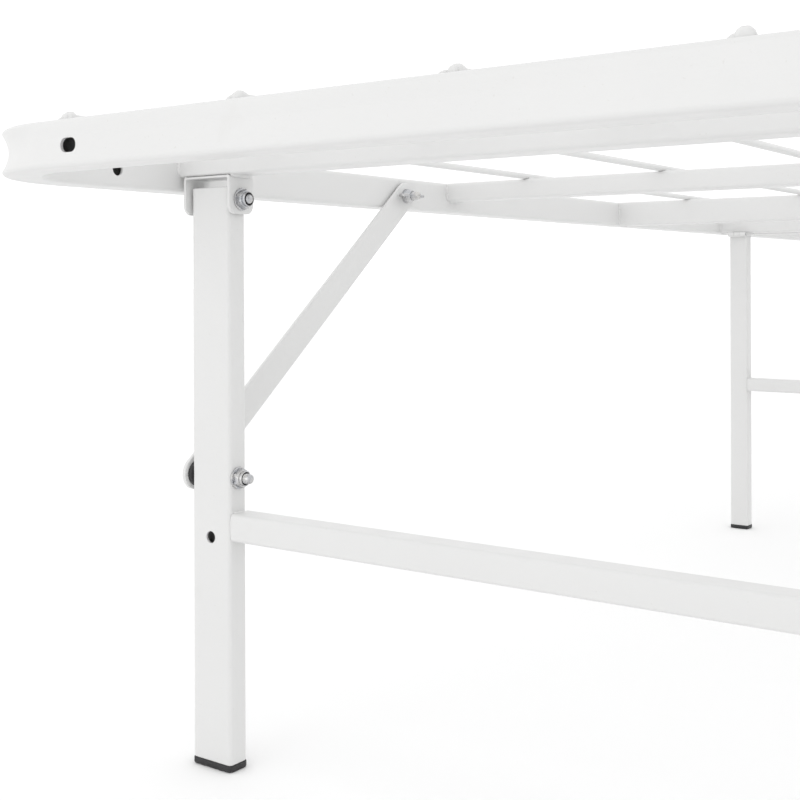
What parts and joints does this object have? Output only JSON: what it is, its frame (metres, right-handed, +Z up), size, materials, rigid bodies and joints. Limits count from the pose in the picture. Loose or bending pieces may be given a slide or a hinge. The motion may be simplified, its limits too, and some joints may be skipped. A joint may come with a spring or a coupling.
{
  "type": "folding platform bed frame",
  "caption": "White steel platform bed frame in two halves that fold together, with wire deck, folding leg frames, flat braces with wing nuts and black foot caps.",
  "frame": {"origin": "on the floor under the middle of the opened frame", "axes": "+X across the bed, +Y from the foot end to the head end, +Z up"},
  "size_m": [0.914, 2.03, 0.36],
  "materials": {
    "rail": "satin white powder coat",
    "cross_bar": "satin white powder coat",
    "deck_wire": "satin white powder coat",
    "fitting": "satin white powder coat",
    "leg": "satin white powder coat",
    "brace": "satin white powder coat",
    "zinc": "bright zinc plated",
    "foot_cap": "matt moulded",
    "spacer": "matt moulded"
  },
  "bodies": {
    "foot_half": {"foot_rail": "rail", "foot_leg_bar": "cross_bar", "foot_cross_bar_outer": "cross_bar", "foot_cross_bar_inner": "cross_bar", "foot_fold_bar": "cross_bar", "foot_wires": "deck_wire", "foot_leg_brackets": "fitting", "foot_hinge_leaves": "fitting", "hinge_pins": "zinc", "mid_hinge_upper_leaves": "fitting", "mid_hinge_pins": "zinc", "foot_pivot_bolts": "zinc", "foot_pivot_washers": "zinc", "foot_pivot_nuts": "zinc"},
    "head_half": {"head_rail": "rail", "head_leg_bar": "cross_bar", "head_cross_bar_outer": "cross_bar", "head_cross_bar_inner": "cross_bar", "head_fold_bar": "cross_bar", "head_wires": "deck_wire", "head_leg_brackets": "fitting", "head_hinge_leaves": "fitting", "head_pivot_bolts": "zinc", "head_pivot_washers": "zinc", "head_pivot_nuts": "zinc"},
    "foot_legs": {"foot_leg_left": "leg", "foot_leg_right": "leg", "foot_leg_tie": "leg", "foot_leg_caps": "foot_cap", "foot_brace_bolts": "zinc", "foot_brace_spacers": "spacer", "foot_brace_washers": "zinc", "foot_brace_nuts": "zinc"},
    "head_legs": {"head_leg_left": "leg", "head_leg_right": "leg", "head_leg_tie": "leg", "head_leg_caps": "foot_cap", "head_brace_bolts": "zinc", "head_brace_spacers": "spacer", "head_brace_washers": "zinc", "head_brace_nuts": "zinc"},
    "mid_legs": {"mid_leg_left": "leg", "mid_leg_right": "leg", "mid_leg_tie": "leg", "mid_leg_caps": "foot_cap", "mid_hinge_lower_leaves": "fitting"},
    "foot_brace_left": {"foot_brace_left": "brace", "foot_clamp_screw_left": "zinc", "foot_wing_nut_left": "zinc"},
    "foot_brace_right": {"foot_brace_right": "brace", "foot_clamp_screw_right": "zinc", "foot_wing_nut_right": "zinc"},
    "head_brace_left": {"head_brace_left": "brace", "head_clamp_screw_left": "zinc", "head_wing_nut_left": "zinc"},
    "head_brace_right": {"head_brace_right": "brace", "head_clamp_screw_right": "zinc", "head_wing_nut_right": "zinc"}
  },
  "joints": [
    {"name": "fold", "type": "hinge", "parent": "foot_half", "child": "head_half", "pos_m": [0, 0, 0.3555], "axis": [1, 0, 0], "range_deg": [0, 180]},
    {"name": "foot_leg_fold", "type": "hinge", "parent": "foot_half", "child": "foot_legs", "pos_m": [0, -0.8635, 0.3225], "axis": [1, 0, 0], "range_deg": [0, 90]},
    {"name": "head_leg_fold", "type": "hinge", "parent": "head_half", "child": "head_legs", "pos_m": [0, 0.8635, 0.3225], "axis": [-1, 0, 0], "range_deg": [0, 90]},
    {"name": "mid_leg_fold", "type": "hinge", "parent": "foot_half", "child": "mid_legs", "pos_m": [0, -0.0478, 0.326], "axis": [-1, 0, 0], "range_deg": [0, 90]},
    {"name": "foot_brace_swing_left", "type": "hinge", "parent": "foot_legs", "child": "foot_brace_left", "pos_m": [0, -0.8635, 0.1653], "axis": [1, 0, 0], "range_deg": [-129.32, 0]},
    {"name": "foot_brace_swing_right", "type": "hinge", "parent": "foot_legs", "child": "foot_brace_right", "pos_m": [0, -0.8635, 0.1653], "axis": [1, 0, 0], "range_deg": [-129.32, 0]},
    {"name": "head_brace_swing_left", "type": "hinge", "parent": "head_legs", "child": "head_brace_left", "pos_m": [0, 0.8635, 0.1653], "axis": [-1, 0, 0], "range_deg": [-129.32, 0]},
    {"name": "head_brace_swing_right", "type": "hinge", "parent": "head_legs", "child": "head_brace_right", "pos_m": [0, 0.8635, 0.1653], "axis": [-1, 0, 0], "range_deg": [-129.32, 0]}
  ],
  "couplings": [
    {"joint": "foot_brace_swing_left", "follows": "foot_leg_fold", "ratio": -1.4363},
    {"joint": "foot_brace_swing_right", "follows": "foot_leg_fold", "ratio": -1.4363},
    {"joint": "head_brace_swing_left", "follows": "head_leg_fold", "ratio": -1.4363},
    {"joint": "head_brace_swing_right", "follows": "head_leg_fold", "ratio": -1.4363}
  ]
}
